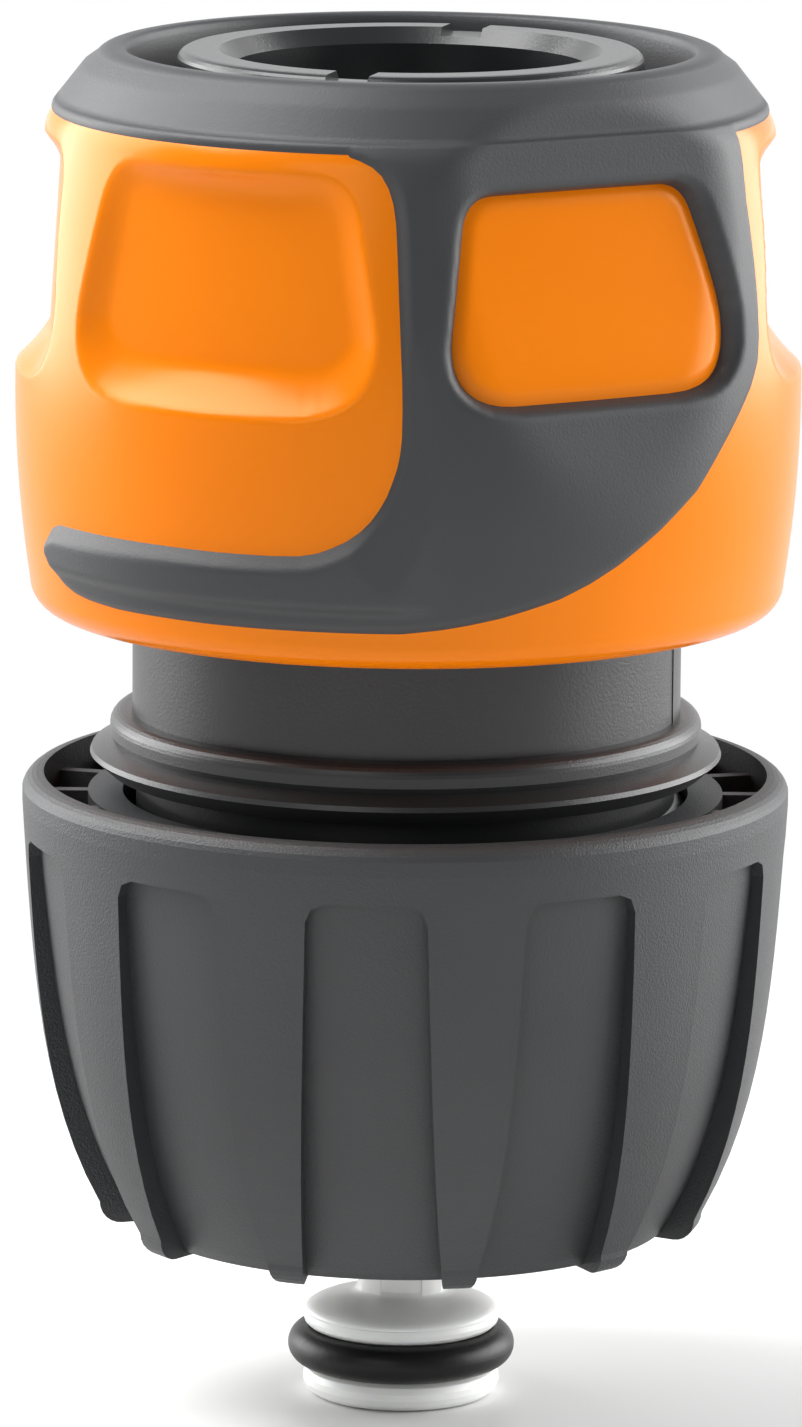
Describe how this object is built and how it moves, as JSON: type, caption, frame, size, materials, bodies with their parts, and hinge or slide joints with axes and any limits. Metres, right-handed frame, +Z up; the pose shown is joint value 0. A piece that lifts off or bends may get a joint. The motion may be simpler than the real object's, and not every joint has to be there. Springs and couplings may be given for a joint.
{
  "type": "garden hose quick connector",
  "caption": "Quick connector for a garden hose with a sprung release sleeve, soft grip, water stop valve and fluted clamping nut.",
  "frame": {"origin": "on the axis at the foot of the valve's head, on which the part stands", "axes": "+Z up along the axis to the opening for the nipple; -Y is the side shown in the picture"},
  "size_m": [0.0406, 0.041, 0.0712],
  "materials": {
    "body_plastic": "fine matt moulding texture",
    "orange_plastic": "smooth and glossy",
    "grip_rubber": "soft, satin",
    "white_plastic": "smooth, half gloss",
    "seal_rubber": "black, satin",
    "spring_steel": "drawn stainless wire"
  },
  "bodies": {
    "body": {"main_body": "body_plastic", "socket_barrel": "body_plastic", "barrel_seal": "seal_rubber", "sleeve_spring": "spring_steel"},
    "sleeve": {"release_sleeve": "orange_plastic", "sleeve_grip": "grip_rubber"},
    "claw_1": {"locking_claw_1": "white_plastic"},
    "claw_2": {"locking_claw_2": "white_plastic"},
    "claw_3": {"locking_claw_3": "white_plastic"},
    "claw_4": {"locking_claw_4": "white_plastic"},
    "valve": {"valve_plunger": "white_plastic", "valve_ring": "seal_rubber"},
    "collet": {"clamp_collet": "white_plastic"},
    "nut": {"clamping_nut": "body_plastic"}
  },
  "joints": [
    {"name": "sleeve_slide", "type": "slide", "parent": "body", "child": "sleeve", "axis": [0, 0, -1], "range_m": [0, 0.0045], "stiffness_N_per_m": 1200, "deforming": ["sleeve_spring"]},
    {"name": "claw_1_slide", "type": "slide", "parent": "body", "child": "claw_1", "axis": [0.7071, 0.7071, 0], "range_m": [0, 0.001]},
    {"name": "claw_2_slide", "type": "slide", "parent": "body", "child": "claw_2", "axis": [-0.7071, 0.7071, 0], "range_m": [0, 0.001]},
    {"name": "claw_3_slide", "type": "slide", "parent": "body", "child": "claw_3", "axis": [-0.7071, -0.7071, 0], "range_m": [0, 0.001]},
    {"name": "claw_4_slide", "type": "slide", "parent": "body", "child": "claw_4", "axis": [0.7071, -0.7071, 0], "range_m": [0, 0.001]},
    {"name": "valve_slide", "type": "slide", "parent": "body", "child": "valve", "axis": [0, 0, 1], "range_m": [0, 0.0056]},
    {"name": "collet_slide", "type": "slide", "parent": "body", "child": "collet", "axis": [0, 0, -1], "range_m": [0, 0.0075]},
    {"name": "nut_turn", "type": "hinge", "parent": "collet", "child": "nut", "pos_m": [0, 0, 0.02], "axis": [0, 0, -1], "range_deg": [0, 900]}
  ],
  "couplings": [
    {"joint": "claw_1_slide", "follows": "sleeve_slide", "ratio": 0.22222},
    {"joint": "claw_2_slide", "follows": "sleeve_slide", "ratio": 0.22222},
    {"joint": "claw_3_slide", "follows": "sleeve_slide", "ratio": 0.22222},
    {"joint": "claw_4_slide", "follows": "sleeve_slide", "ratio": 0.22222},
    {"joint": "collet_slide", "follows": "nut_turn", "m_per_rad": 0.00047746}
  ]
}
